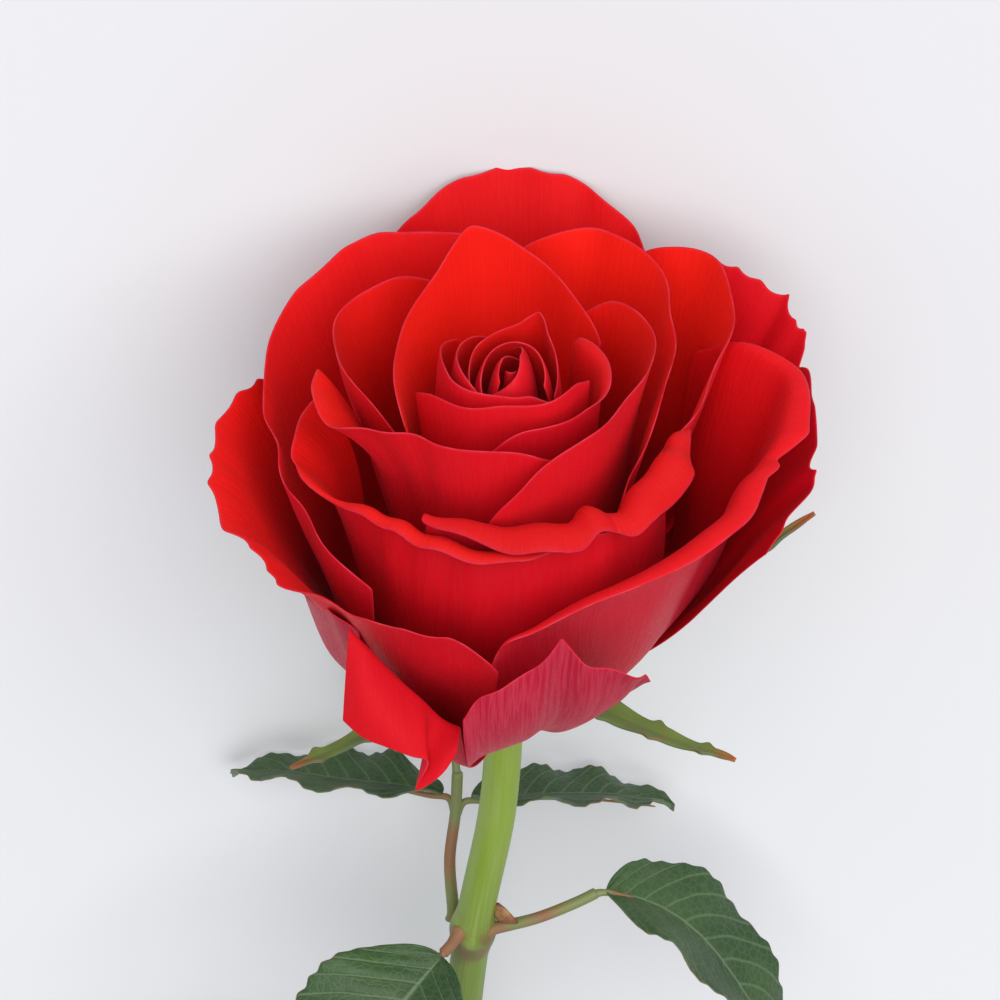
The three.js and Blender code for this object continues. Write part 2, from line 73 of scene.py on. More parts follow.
# A point on a smooth curve through the points, at a share from 0 to 1.
def through(points, share):
    count = len(points)
    at = share * (count - 1)
    i = min(int(at), count - 2)
    b, c = Vector(points[i]), Vector(points[i + 1])
    a = Vector(points[i - 1]) if i > 0 else b * 2 - c
    d = Vector(points[i + 2]) if i + 2 < count else c * 2 - b
    gaps = [max(1e-4, (q - p).length) ** 0.5 for p, q in ((a, b), (b, c), (c, d))]
    leave = ((b - a) / gaps[0] - (c - a) / (gaps[0] + gaps[1]) + (c - b) / gaps[1]) * gaps[1]
    arrive = ((c - b) / gaps[1] - (d - b) / (gaps[1] + gaps[2]) + (d - c) / gaps[2]) * gaps[1]
    x = at - i
    return (b + leave * x + (c * 3 - b * 3 - leave * 2 - arrive) * x ** 2
            + (b * 2 - c * 2 + leave + arrive) * x ** 3)


def bezier(points, t):
    points = [Vector(p) for p in points]
    while len(points) > 1:
        points = [a.lerp(b, t) for a, b in zip(points, points[1:])]
    return points[0]


# Every piece is moved by the same slow field, so that neighbours stay clear of each other.
def uneven(point, size, amount):
    return point + noise.noise_vector(point / size) * amount


def addPiece(name, bm, materials, nodes, modifiers=()):
    mesh = bpy.data.meshes.new(name)
    bm.to_mesh(mesh)
    bm.free()
    piece = bpy.data.objects.new(name, mesh)
    scene.collection.objects.link(piece)
    for material in materials:
        mesh.materials.append(material)
    mesh.shade_smooth()
    for kind, values in modifiers:
        modifier = piece.modifiers.new(kind.title(), kind)
        for key, value in values.items():
            setattr(modifier, key, value)
    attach(piece, "root")
    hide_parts(*nodes)
    return piece


def wallAndSmooth(thickness, levels=1):
    wall = {"thickness": thickness * mm, "offset": 0, "material_offset": 1, "material_offset_rim": 2,
            "use_quality_normals": True}
    return [("SOLIDIFY", wall), ("SUBSURF", {"levels": levels, "render_levels": levels})]


smoothOnly = [("SUBSURF", {"levels": 1, "render_levels": 1})]


class Nodes:
    def __init__(self, tree):
        self.tree = tree

    def add(self, kind, inputs=None, **settings):
        node = self.tree.nodes.new(kind)
        for key, value in settings.items():
            setattr(node, key, value)
        for key, value in (inputs or {}).items():
            if isinstance(value, bpy.types.NodeSocket):
                self.tree.links.new(value, node.inputs[key])
            else:
                node.inputs[key].default_value = value
        return node

    def link(self, value, socket):
        self.tree.links.new(value, socket)

    def local(self):
        return self.add("ShaderNodeTexCoord").outputs["Object"]

    def attribute(self, name):
        return self.add("ShaderNodeAttribute", attribute_name=name).outputs["Vector"]

    def split(self, vector):
        return self.add("ShaderNodeSeparateXYZ", {0: vector}).outputs

    def cloud(self, place, scale, detail=2.0, **more):
        inputs = {"Vector": place, "Scale": scale, "Detail": detail, **more}
        return self.add("ShaderNodeTexNoise", inputs).outputs[0]

    def bump(self, height, strength, distance):
        inputs = {"Height": height, "Strength": strength, "Distance": distance}
        return self.add("ShaderNodeBump", inputs).outputs[0]

    def math(self, operation, *values):
        return self.add("ShaderNodeMath", dict(enumerate(values)), operation=operation).outputs[0]

    def spread(self, value, low, high, start=0.0, end=1.0):
        return self.add("ShaderNodeMapRange", {0: value, 1: low, 2: high, 3: start, 4: end},
                        interpolation_type="SMOOTHSTEP").outputs[0]

    def blend(self, factor, a, b, how="MIX"):
        node = self.add("ShaderNodeMix", {0: factor, 6: a, 7: b}, data_type="RGBA", blend_type=how)
        return node.outputs[2]


def newGroup(name, inputs, outputs):
    tree = bpy.data.node_groups.new(name, "ShaderNodeTree")
    for socket, kind in inputs.items():
        tree.interface.new_socket(socket, in_out="INPUT", socket_type="NodeSocket" + kind)
    for socket, kind in outputs.items():
        tree.interface.new_socket(socket, in_out="OUTPUT", socket_type="NodeSocket" + kind)
    nodes = Nodes(tree)
    return nodes, nodes.add("NodeGroupInput").outputs, nodes.add("NodeGroupOutput").inputs


def newMaterial(name, **constants):
    material = bpy.data.materials.new(name)
    material.use_nodes = True
    shader = material.node_tree.nodes["Principled BSDF"]
    for key, value in constants.items():
        shader.inputs[key.replace("_", " ")].default_value = value
    return material, Nodes(material.node_tree), shader.inputs


# A skin of two tones in patches, with a fine grit where the look has one.
def patchyMaterial(name, look):
    material, nodes, shader = newMaterial(name, Specular_IOR_Level=look["gloss"])
    local = nodes.local()
    patch = nodes.cloud(local, look["patch"], look.get("detail", 2.0))
    nodes.link(nodes.blend(nodes.spread(patch, *look["edges"]), *look["tones"]), shader["Base Color"])
    nodes.link(nodes.spread(patch, 0.3, 0.7, *look["rough"]), shader["Roughness"])
    if "grit" in look:
        nodes.link(nodes.bump(nodes.cloud(local, look["grit"]), look["bump"], 0.0001), shader["Normal"])
    return material


# Veins that fan from the claw, a slow mottle, a fine grain, a mask of the last of the rim, and the share up
# the petal that the painted shade follows.
nodes, given, made = newGroup("petalVeins", {"Place": "Vector", "Count": "Float", "Rim Width": "Float"},
                              {"Veins": "Float", "Mottle": "Float", "Grain": "Float", "Rim": "Float",
                               "Up": "Float"})
place = nodes.split(given["Place"])
fan = nodes.add("ShaderNodeCombineXYZ", {0: nodes.math("MULTIPLY", place[0], given["Count"]),
                                         1: nodes.math("MULTIPLY", place[1], 2.2)}).outputs[0]
strands = nodes.cloud(fan, 1.0, 3.0, Roughness=0.6)
ridge = nodes.math("ABSOLUTE", nodes.math("SUBTRACT", strands, 0.5))
local = nodes.local()
nodes.link(nodes.spread(ridge, 0.0, 0.09, 1.0, 0.0), made["Veins"])
nodes.link(nodes.cloud(local, 60.0, 2.0), made["Mottle"])
nodes.link(nodes.cloud(local, 2600.0, 1.0), made["Grain"])
rimShare = nodes.math("DIVIDE", place[2], given["Rim Width"])
nodes.link(nodes.spread(rimShare, 0.0, 1.0, 1.0, 0.0), made["Rim"])
nodes.link(place[1], made["Up"])
petalVeins = nodes.tree

# A leaf's midrib and side veins, from its own place: across -1 to 1, along 0 to 1.
nodes, given, made = newGroup("leafVeins", {"Place": "Vector", "Pairs": "Float"},
                              {"Midrib": "Float", "Veins": "Float", "Net": "Float", "Blotch": "Float"})
place = nodes.split(given["Place"])
out = nodes.math("ABSOLUTE", place[0])
nodes.link(nodes.spread(out, 0.0, 0.06, 1.0, 0.0), made["Midrib"])
local = nodes.local()
waver = nodes.cloud(local, 130.0, 1.0)
slant = nodes.math("SUBTRACT", place[1], nodes.math("MULTIPLY", nodes.math("POWER", out, 1.3), 0.2))
phase = nodes.math("MULTIPLY", nodes.math("ADD", slant, nodes.math("MULTIPLY", waver, 0.02)), given["Pairs"])
step = nodes.math("ABSOLUTE", nodes.math("SUBTRACT", nodes.math("FRACT", phase), 0.5))
nodes.link(nodes.spread(step, 0.38, 0.5), made["Veins"])
net = nodes.add("ShaderNodeTexVoronoi", {"Vector": local, "Scale": 700.0},
                feature="DISTANCE_TO_EDGE").outputs[0]
nodes.link(nodes.spread(net, 0.0, 0.16, 1.0, 0.0), made["Net"])
nodes.link(nodes.cloud(local, 45.0, 3.0), made["Blotch"])
leafVeins = nodes.tree
print("shared effects made")

# Each face runs from its deep colour at the claw to its bright colour at the rim: the petal's own crimson,
# darkened towards the claw with painted shade from deep inside the flower.
petalFinish = {
    "inside": {"deepShade": (0.36, 0.001, 0.008, 1), "bright": (0.80, 0.013, 0.007, 1),
               "dusty": (0.56, 0.003, 0.014, 1), "veinTone": (0.42, 0.002, 0.008, 1),
               "vein": 0.05, "rim": 0.30, "count": 60.0, "bump": 0.30, "rough": (0.50, 0.64),
               "shader": {"Sheen_Weight": 0.10, "Sheen_Roughness": 0.4, "Sheen_Tint": (1, 0.10, 0.12, 1),
                          "IOR": 1.4, "Specular_IOR_Level": 0.12, "Subsurface_Weight": 0.15,
                          "Subsurface_Radius": (1.0, 0.10, 0.05), "Subsurface_Scale": 0.0012}},
    "outside": {"deepShade": (0.42, 0.002, 0.012, 1), "bright": (0.72, 0.008, 0.015, 1),
                "dusty": (0.40, 0.007, 0.032, 1), "veinTone": (0.60, 0.09, 0.13, 1),
                "vein": 0.02, "rim": 0.35, "count": 34.0, "bump": 0.22, "rough": (0.44, 0.58),
                "shader": {"Sheen_Weight": 0.07, "Sheen_Roughness": 0.4, "Sheen_Tint": (1, 0.14, 0.20, 1),
                           "IOR": 1.4, "Specular_IOR_Level": 0.15, "Subsurface_Weight": 0.15,
                           "Subsurface_Radius": (1.0, 0.10, 0.06), "Subsurface_Scale": 0.0012}},
    "rimTone": (0.52, 0.020, 0.050, 1), "rimWidth": 0.5, "dustVein": 0.22, "mottle": 0.3,
    "edge": {"tones": [(0.50, 0.006, 0.020, 1), (0.60, 0.030, 0.055, 1)], "patch": 300.0, "edges": (0.35, 0.7),
             "rough": (0.45, 0.6), "gloss": 0.2},
}


def petalMaterial(name, look):
    material, nodes, shader = newMaterial(name, **look["shader"])
    place = nodes.attribute("petalPlace")
    tones = nodes.split(nodes.attribute("petalToneAndShade"))
    surface = nodes.add("ShaderNodeGroup", node_tree=petalVeins)
    nodes.link(place, surface.inputs["Place"])
    surface.inputs["Count"].default_value = look["count"]
    surface.inputs["Rim Width"].default_value = petalFinish["rimWidth"]
    out = surface.outputs
    # Painted shade: the colour darkens from the rim down to the claw, and more so on a petal with a low tone.
    light = nodes.math("MULTIPLY", nodes.spread(out["Up"], 0.2, 0.9), tones[0])
    mottle = nodes.math("MULTIPLY", nodes.math("SUBTRACT", out["Mottle"], 0.5), petalFinish["mottle"])
    light = nodes.math("ADD", light, mottle)
    colour = nodes.blend(light, look["deepShade"], look["bright"])
    colour = nodes.blend(tones[1], colour, look["dusty"])
    dustVein = nodes.math("MULTIPLY", nodes.math("POWER", tones[1], 3.0), petalFinish["dustVein"])
    veins = nodes.math("MULTIPLY", out["Veins"], nodes.math("ADD", look["vein"], dustVein))
    colour = nodes.blend(veins, colour, look["veinTone"])
    colour = nodes.blend(nodes.math("MULTIPLY", out["Rim"], look["rim"]), colour, petalFinish["rimTone"])
    nodes.link(colour, shader["Base Color"])
    nodes.link(nodes.spread(out["Grain"], 0.3, 0.7, *look["rough"]), shader["Roughness"])
    relief = nodes.math("MULTIPLY", out["Veins"], -0.6)
    relief = nodes.math("ADD", relief, nodes.math("MULTIPLY", out["Grain"], 0.35))
    nodes.link(nodes.bump(relief, look["bump"], 0.0002), shader["Normal"])
    return material


petalInside = petalMaterial("petalInside", petalFinish["inside"])
petalOutside = petalMaterial("petalOutside", petalFinish["outside"])
petalRim = patchyMaterial("petalRim", petalFinish["edge"])
petalMaterials = [petalOutside, petalInside, petalRim]
print("petal finishes made")

# Petals, from the heart outwards. Each key of a petal is as follows.
# rim: [azimuth, radius, height, lean] from one side edge to the other; lean defaults to the petal's own.
# belly: how far the petal swells; claw: where it leaves the hip; handle: how long it heads along its lean.
# hang: where the rim ends up when the petal folds over along the line of its rim points.
# roll: length of rim that rolls outwards, spread over the petal, and rollTurn how far it turns.
# waves: [count, height]; teeth: [count, depth, shift] scallops with points between them;
# tips: [share, length, width]; tone: 1 orange-red, 0 crimson, how far the petal brightens from its claw, which
# also paints shade on a petal that sits in shadow; dust: 1 for a pinker, duller outer face.
petals = [
    {"name": "heart_1", "belly": 2.0, "lean": -6, "toneAndShade": 0.5,
     "rim": [[-170, 0.7, 55], [-90, 0.7, 56.6], [0, 0.8, 57], [90, 0.7, 56.6], [170, 0.5, 55]]},
    {"name": "heart_2", "claw": 250, "belly": 5.2, "lean": -46, "handle": 6, "toneAndShade": 0.5,
     "rim": [[140, 3.4, 55.4], [185, 2.0, 57.4], [235, 1.2, 58.4], [285, 1.4, 58.4], [330, 2.8, 56.4]]},
    {"name": "heart_3", "claw": 80, "belly": 7.0, "lean": -46, "handle": 7, "toneAndShade": 0.6, "waves": [2, 0.15],
     "rim": [[-35, 4.2, 55], [5, 3.0, 57.4], [45, 1.7, 58.6], [85, 1.2, 59.4], [120, 1.8, 59.4],
             [155, 3.2, 58.6], [190, 4.2, 56]]},
    {"name": "heart_4", "claw": -215, "belly": 6.6, "lean": -32, "handle": 7, "toneAndShade": 0.6,
     "rim": [[-45, 5.2, 54.5], [-95, 3.6, 57.6], [-150, 3.2, 58.8], [-195, 3.4, 59.2], [-245, 4.2, 58.8],
             [-300, 5.6, 56.5]]},
    {"name": "heart_5", "claw": -165, "belly": 7.2, "lean": -8, "tips": [[0.57, 0.8, 0.03]], "toneAndShade": 0.7,
     "rim": [[-75, 5.8, 55], [-110, 5.6, 58], [-155, 5.6, 59.2], [-190, 6.4, 60.2], [-212, 8.6, 61.2],
             [-230, 7.4, 59.6], [-262, 6.9, 58], [-300, 7.4, 55.5]]},
    {"name": "heart_6", "claw": -115, "belly": 8.2, "lean": -12, "toneAndShade": 0.7,
     "rim": [[-165, 8.6, 55], [-138, 8.0, 57.5], [-108, 7.6, 58.3], [-80, 7.0, 58.3], [-55, 6.6, 57.5],
             [-25, 6.4, 55]]},
    {"name": "heart_7", "claw": -45, "belly": 9.4, "lean": -10, "toneAndShade": 0.7, "waves": [3, 0.2],
     "rim": [[-140, 10.9, 55], [-115, 10.2, 57.2], [-85, 9.0, 57.5], [-59, 7.9, 57.5], [-30, 6.9, 57.5],
             [0, 6.3, 57.5], [30, 6.4, 57], [52, 8.2, 55.5]]},
    {"name": "inner_front", "claw": 5, "belly": 11, "lean": 2, "toneAndShade": 0.8, "waves": [3, 0.3],
     "rim": [[-84, 13, 54], [-65, 12.3, 57], [-38, 10.8, 57.5], [-11, 9.0, 58], [15, 9.2, 58],
             [39, 9.8, 58.5], [62, 11.0, 59], [80, 11.8, 57]]},
    {"name": "inner_right", "claw": 65, "belly": 12.5, "lean": 8, "waves": [3, 0.3], "toneAndShade": 0.4,
     "roll": [0, 1, 2, 2, 1, 0, 0, 0, 0], "rollTurn": 55,
     "rim": [[132, 12.4, 53.5], [119, 12.2, 57.2], [105, 13.2, 58.2], [88, 14.6, 58], [68, 15.6, 57.3],
             [52, 13.8, 57], [21, 12.8, 56.5], [0, 14, 56], [-18, 15.6, 52]]},
    {"name": "pointed_back", "claw": -160, "belly": 14, "lean": 10, "tips": [[0.56, 2.0, 0.05]], "toneAndShade": 0.95,
     "rim": [[-50, 17.4, 53], [-72, 16.4, 57], [-112, 16.2, 57.5], [-148, 20.5, 58.5], [-168, 24, 62],
             [-190, 22.5, 59], [-214, 18.2, 57.5], [-240, 15.8, 54]]},
    {"name": "ring_left", "claw": -108, "belly": 15.5, "lean": 14, "waves": [3, 0.3], "toneAndShade": 0.7,
     "rim": [[-52, 17.4, 49], [-72, 19.6, 56.3], [-98, 25, 56.5], [-124, 28, 55.5], [-143, 27.6, 55],
             [-162, 27, 50]]},
    {"name": "ring_front_left", "claw": -30, "belly": 17, "lean": 10, "waves": [5, 0.3], "toneAndShade": 0.8,
     "rim": [[26, 17.2, 53], [12, 17.8, 56.3], [-8, 17.8, 57], [-31, 18.2, 57], [-46, 19.8, 57.5, 20],
             [-56, 22.8, 57.5, 35], [-64, 26.5, 57, 50], [-71, 28.4, 57, 55], [-80, 28.4, 57.5, 55],
             [-92, 27.6, 56, 45]]},
    {"name": "ring_right", "claw": 56, "belly": 18.5, "lean": 12, "waves": [4, 0.25], "toneAndShade": 0.85,
     "rim": [[150, 20.4, 51], [134, 22.4, 56], [110, 22.4, 57.5], [88, 19.8, 57.5], [62, 18.4, 57.5],
             [36, 18.8, 57.5], [12, 20.6, 55.5], [-2, 22.6, 51.5], [-10, 22.8, 46]]},
    {"name": "ring_back_right", "claw": 150, "belly": 20.4, "lean": 16, "waves": [5, 0.4], "toneAndShade": 1.0,
     "rim": [[184, 29.5, 49], [172, 31.5, 54.5], [155, 35, 56], [137, 33, 55.5], [118, 27.5, 55],
             [92, 23.2, 54.5], [66, 21.8, 52], [48, 21.6, 44]]},
    {"name": "ring_outer_right", "claw": 91, "belly": 21.6, "lean": 20, "waves": [5, 0.35], "toneAndShade": 1.0,
     "tips": [[0.42, -0.9, 0.008]],
     "rim": [[156, 38, 45], [144, 40, 52], [130, 41, 54.5], [116, 37, 53.5], [98, 30.5, 53], [76, 26.6, 53],
             [54, 24.2, 49.5], [38, 23.4, 43], [30, 23, 36]]},
    {"name": "lip_right", "claw": 6, "belly": 28.5, "lean": -8, "waves": [6, 0.45], "toneAndShade": 0.45,
     "across": 80, "tips": [[0.5, -1.0, 0.02]],
     "roll": [1, 3.5, 5.5, 6, 5.5, 5.5, 5.5, 5, 3.5, 2], "rollTurn": 92,
     "rim": [[76, 27, 51.5, 20], [67, 27.8, 51, 20], [60, 29.6, 50, 15], [48, 29.5, 49, 5],
             [37.6, 30.3, 48.5], [27.3, 28.4, 49.6], [19.7, 29, 48.5], [3.6, 28.4, 49],
             [-11, 27.3, 49.5], [-27, 26.2, 50]]},
    {"name": "lip_left", "claw": -20, "belly": 29.8, "lean": -5, "waves": [9, 0.4], "toneAndShade": 0.6, "across": 96,
     "roll": [0, 0, 0, 1, 2.5, 3, 3, 2.5, 1.5, 0.5, 0, 0], "rollTurn": 90,
     "rim": [[66, 25, 40], [50, 25.4, 45], [32, 26, 47], [14, 27.2, 47], [-1, 29.0, 46.9], [-16.7, 29, 47.4],
             [-29, 28.6, 47.6], [-41.4, 28.8, 47.8, 8], [-53.9, 29.8, 47, 28], [-67, 31.9, 47.5, 46],
             [-79, 31.6, 48.5, 54], [-93.8, 28.1, 49, 54]]},
    {"name": "guard_left_back", "dust": 0.4, "claw": -120, "belly": 27, "lean": 26, "waves": [6, 0.5],
     "teeth": [9, 0.35, 0.2], "across": 80, "toneAndShade": 1.0,
     "rim": [[-184, 30.5, 47], [-176, 32, 53], [-154, 38.1, 54], [-144, 39.8, 53], [-126, 38.1, 52],
             [-109, 37.4, 51.5], [-91, 35.4, 50], [-79, 34.2, 48, 20], [-64, 33.4, 45, 14],
             [-51, 32.6, 42, 10], [-37, 31.2, 37, 6]]},
    {"name": "guard_back", "dust": 0.5, "claw": -181, "belly": 27.5, "lean": 22, "waves": [7, 0.5],
     "teeth": [11, 0.4, 0.1], "across": 80, "toneAndShade": 1.0,
     "rim": [[-140, 38.6, 34], [-152, 42, 46], [-168, 45, 54.5], [-182, 46.5, 56.5], [-196, 46, 54.5],
             [-211, 42.6, 46], [-222, 38.6, 34]]},
    {"name": "guard_right", "dust": 0.45, "claw": 46, "belly": 32, "lean": 24, "waves": [6, 0.3], "toneAndShade": 0.7,
     "roll": [0, 1, 2, 3, 4.5, 5, 5, 5, 5, 4, 3, 2, 1, 0], "rollTurn": 45, "across": 104,
     "tips": [[0.385, -2.6, 0.02], [0.345, 1.4, 0.012], [0.45, -0.8, 0.02]],
     "rim": [[122, 33, 44], [113, 36, 49.5], [105, 39.9, 50.5], [98, 43, 50.5], [88, 43.2, 50],
             [77, 41.1, 48.5], [70, 39.4, 47.5], [59, 39, 47], [48.4, 38.2, 46], [34, 36.2, 44.5],
             [20, 35.4, 43], [7.4, 36, 41], [-0.5, 37.6, 39.5], [-4, 37.2, 33]]},
    {"name": "guard_left", "dust": 0.12, "claw": -46, "belly": 31.5, "lean": 50, "waves": [6, 0.3],
     "teeth": [13, 1.0, 0.2], "toneAndShade": 0.75, "across": 120,
     "tips": [[0.27, 1.4, 0.012], [0.33, 1.8, 0.012], [0.42, 1.8, 0.012], [0.58, 2.2, 0.015]],
     "rim": [[-124, 38, 36, 24], [-107, 39, 44.5, 34], [-94, 42, 46.5, 46], [-82, 43.4, 47, 50],
             [-72, 44.8, 47, 56], [-61, 45.2, 46, 56], [-54, 43.6, 45.4, 52], [-46, 43.9, 43.5, 52],
             [-41, 41.4, 43, 45], [-33, 40.4, 41.2, 34], [-22.6, 39, 41, 24], [-11.6, 38.2, 40.6, 20],
             [-1.3, 38.4, 35.5, 20]]},
    {"name": "outer_back_right", "dust": 0.7, "claw": 130, "belly": 33, "lean": 34, "waves": [4, 0.3],
     "teeth": [9, 0.7, 0.0], "toneAndShade": 0.75, "across": 72, "tips": [[0.556, 1.4, 0.012], [0.78, 1.2, 0.012]],
     "rim": [[152, 43, 40], [143, 42.5, 49], [135.5, 43, 51.5], [129.9, 45.8, 50.5], [124, 47.6, 49.5],
             [121, 49.4, 48], [117, 48.6, 47], [114.3, 49, 46], [110, 47, 41], [106, 44, 34]]},
    {"name": "outer_back_left", "dust": 0.9, "claw": -150, "belly": 33.4, "lean": 34, "waves": [4, 0.3],
     "toneAndShade": 0.7,
     "rim": [[-168, 43.6, 26], [-154, 45, 34], [-139, 45.6, 38.5], [-124, 44, 34], [-112, 42, 26]]},
    {"name": "outer_right", "dust": 0.5, "claw": 92, "belly": 28, "lean": 38, "waves": [4, 0.25],
     "teeth": [7, 0.5, 0.0], "toneAndShade": 0.2, "across": 72, "tips": [[0.56, 1.2, 0.012], [0.9, 1.0, 0.015]],
     "rim": [[118, 46, 37], [107.7, 47.1, 44], [99, 45.8, 44.5], [90, 45, 43.5], [84, 44.4, 42.2],
             [80, 45.2, 42], [74.6, 44, 41], [69.4, 42.6, 40], [64.5, 41.5, 37]]},
    {"name": "outer_left", "dust": 0.9, "claw": -80, "belly": 29, "lean": 14, "waves": [3, 0.3], "toneAndShade": 0.6,
     "rim": [[-96, 31, 17], [-80, 32.4, 24], [-62, 34, 29], [-47, 36.6, 34.5], [-40, 37.2, 36],
             [-34, 36.8, 34]]},
    {"name": "fold_left", "dust": 0.6, "claw": -22, "belly": 29, "lean": 8, "toneAndShade": 0.45,
     "across": 96, "up": 34,
     "rim": [[-33, 40.2, 39.4], [-28, 40.5, 37.4], [-22, 40.8, 34], [-16, 41, 30.4], [-12, 41.2, 27.8],
             [-9, 41.4, 27]],
     "hang": [[-28.3, 48.3, 29.5], [-24, 49.2, 28.6], [-19.6, 49.3, 28.2], [-15.5, 49.6, 27.9],
              [-12.8, 49.6, 27.4], [-14.1, 52.0, 23.9], [-10.5, 50.4, 26], [-8.6, 47, 27.4]]},
    {"name": "fold_front", "dust": 1.0, "claw": 10, "belly": 26, "lean": -10, "handle": 15, "waves": [5, 0.4],
     "toneAndShade": 0.4, "tips": [[0.5, 1.2, 0.02], [0.88, 1.0, 0.015]], "across": 80,
     "rim": [[-8, 43.4, 30.5], [-5, 42.6, 34], [0, 41.8, 36.3], [5.1, 41, 38], [10.7, 40.2, 41.8],
             [15.9, 41.6, 38.2, 0], [21, 43, 37, 14], [25.5, 44.6, 36, 34], [27.5, 43.8, 34, 44]]},
]
petalBuild = {"thickness": 0.26, "across": 56, "up": 26, "clawRadius": 1.2, "clawRadiusStep": 0.25,
              "clawHeight": -1, "clawHeightStep": -0.1, "clawHalfAngle": 20, "bellyHeight": 5.5,
              "bellyHeightStep": -0.17, "handle": 18, "fieldSize": 16, "fieldAmount": 0.8,
              "length": 45, "rimRows": 1.25, "tipStart": 0.8, "toothWander": 0.18, "waveWander": 0.06}
hanging = {"crest": 0.62, "bow": (0, -1, 0.6), "depth": 0.9, "ripple": 0.7, "ripples": 9}


# How far the rim stands beyond its line at a share across, in mm.
def rimReach(petal, s):
    reach = sum(length * math.exp(-abs(s - share) / width) for share, length, width in petal.get("tips", ()))
    if "teeth" in petal:
        count, depth, shift = petal["teeth"]
        wander = petalBuild["toothWander"] * noise.noise(Vector((s * 3, count, 0)))
        reach -= depth * abs(math.sin(math.pi * count * (s + wander + shift / count)))
    return reach


def petalPoint(petal, order, s, t):
    if "hang" in petal:
        crest = hanging["crest"]
        if t > crest:
            share = (t - crest) / (1 - crest)
            end = polar(*through(petal["hang"], s))
            depth = hanging["depth"] + hanging["ripple"] * math.sin(hanging["ripples"] * s)
            bow = Vector(hanging["bow"]) * math.sin(math.pi * share) * depth
            return petalPoint(petal, order, s, crest).lerp(end, share) + bow
        t = t / crest
    rim = petal["rim"]
    azimuth, radius, height = through([p[:3] for p in rim], s)
    leans = [[p[3] if len(p) > 3 else petal["lean"], i, 0] for i, p in enumerate(rim)]
    lean = math.radians(through(leans, s).x)
    middle = petal.get("claw", through([p[:3] for p in rim], 0.5).x)
    across = math.copysign(1, rim[-1][0] - rim[0][0])
    start = middle + (s - 0.5) * 2 * petalBuild["clawHalfAngle"] * across
    azimuth = mix(start, azimuth, 1 - (1 - t) ** 2)
    handle = petal.get("handle", petalBuild["handle"])
    roll, rollTurn = 0, math.radians(petal.get("rollTurn", 0))
    if "roll" in petal:
        roll = max(0, through([[length, i, 0] for i, length in enumerate(petal["roll"])], s).x)
        radius += roll * (math.sin(lean) - math.sin(lean + rollTurn))
        height += roll * (math.cos(lean) - math.cos(lean + rollTurn))
    profile = [(petalBuild["clawRadius"] + petalBuild["clawRadiusStep"] * order,
                petalBuild["clawHeight"] + petalBuild["clawHeightStep"] * order),
               (petal["belly"], petalBuild["bellyHeight"] + petalBuild["bellyHeightStep"] * order),
               (radius - handle * math.sin(lean), height - handle * math.cos(lean)), (radius, height)]
    point = bezier(profile, t)
    rise = Vector((math.sin(lean), math.cos(lean)))
    point += rise * rimReach(petal, s) * ease(t, petalBuild["tipStart"], 1)
    if "waves" in petal:
        count, tall = petal["waves"]
        wander = petalBuild["waveWander"] * noise.noise(Vector((s * 4, order, 3)))
        wave = math.sin(math.tau * count * (s + wander) + order)
        point += Vector((rise.y, -rise.x)) * wave * tall * t ** 4
    begin = 1 - roll / (3 * handle)  # the curve ends at three handles per unit of t
    if roll > 0.2 and t > begin:
        pivot = bezier(profile, begin)
        point = pivot + Matrix.Rotation(-rollTurn * (t - begin) / (1 - begin), 2) @ (point - pivot)
    return uneven(polar(azimuth, point.x, point.y), petalBuild["fieldSize"], petalBuild["fieldAmount"])


def petalPiece(petal, order):
    bm = bmesh.new()
    bmesh.ops.create_grid(bm, x_segments=petal.get("across", petalBuild["across"]),
                          y_segments=petal.get("up", petalBuild["up"]), size=1)
    place = bm.verts.layers.float_vector.new("petalPlace")
    toneAndShade = bm.verts.layers.float_vector.new("petalToneAndShade")
    rising = petal["rim"][-1][0] > petal["rim"][0][0]
    for vert in bm.verts:
        s = (vert.co.x + 1) / 2 if rising else (1 - vert.co.x) / 2
        t = 1 - ((1 - vert.co.y) / 2) ** petalBuild["rimRows"]
        vert[place] = (s, t, (1 - t) * petalBuild["length"])
        # The petal's tone carries its own hue together with painted shade for a petal in shadow.
        vert[toneAndShade] = (petal["toneAndShade"], petal.get("dust", 0), 0)
        vert.co = toWorld @ petalPoint(petal, order, s, t)
    name = "petal_" + petal["name"]
    wall = wallAndSmooth(petalBuild["thickness"])
    addPiece(petal["name"] + "Petal", bm, petalMaterials, [name], wall)


for order, petal in enumerate(petals):
    petalPiece(petal, order)
print("petals made:", len(petals))

sideVeins = 11  # pairs of side veins on a blade


def leafMaterial(name, dark, light, vein, rough, bump, **constants):
    material, nodes, shader = newMaterial(name, **constants)
    place = nodes.attribute("bladePlace")
    surface = nodes.add("ShaderNodeGroup", node_tree=leafVeins)
    nodes.link(place, surface.inputs["Place"])
    surface.inputs["Pairs"].default_value = sideVeins
    out = surface.outputs
    colour = nodes.blend(nodes.spread(out["Blotch"], 0.3, 0.7), dark, light)
    colour = nodes.blend(nodes.math("MULTIPLY", out["Veins"], 0.45), colour, vein)
    colour = nodes.blend(nodes.math("MULTIPLY", out["Net"], 0.15), colour, vein)
    colour = nodes.blend(nodes.math("MULTIPLY", out["Midrib"], 0.8), colour, vein)
    nodes.link(colour, shader["Base Color"])
    nodes.link(nodes.spread(out["Blotch"], 0.3, 0.7, *rough), shader["Roughness"])
    relief = nodes.math("MULTIPLY", out["Veins"], -0.7)
    relief = nodes.math("ADD", relief, nodes.math("MULTIPLY", out["Net"], -0.2))
    relief = nodes.math("SUBTRACT", relief, out["Midrib"])
    nodes.link(nodes.bump(relief, bump, 0.0004), shader["Normal"])
    return material


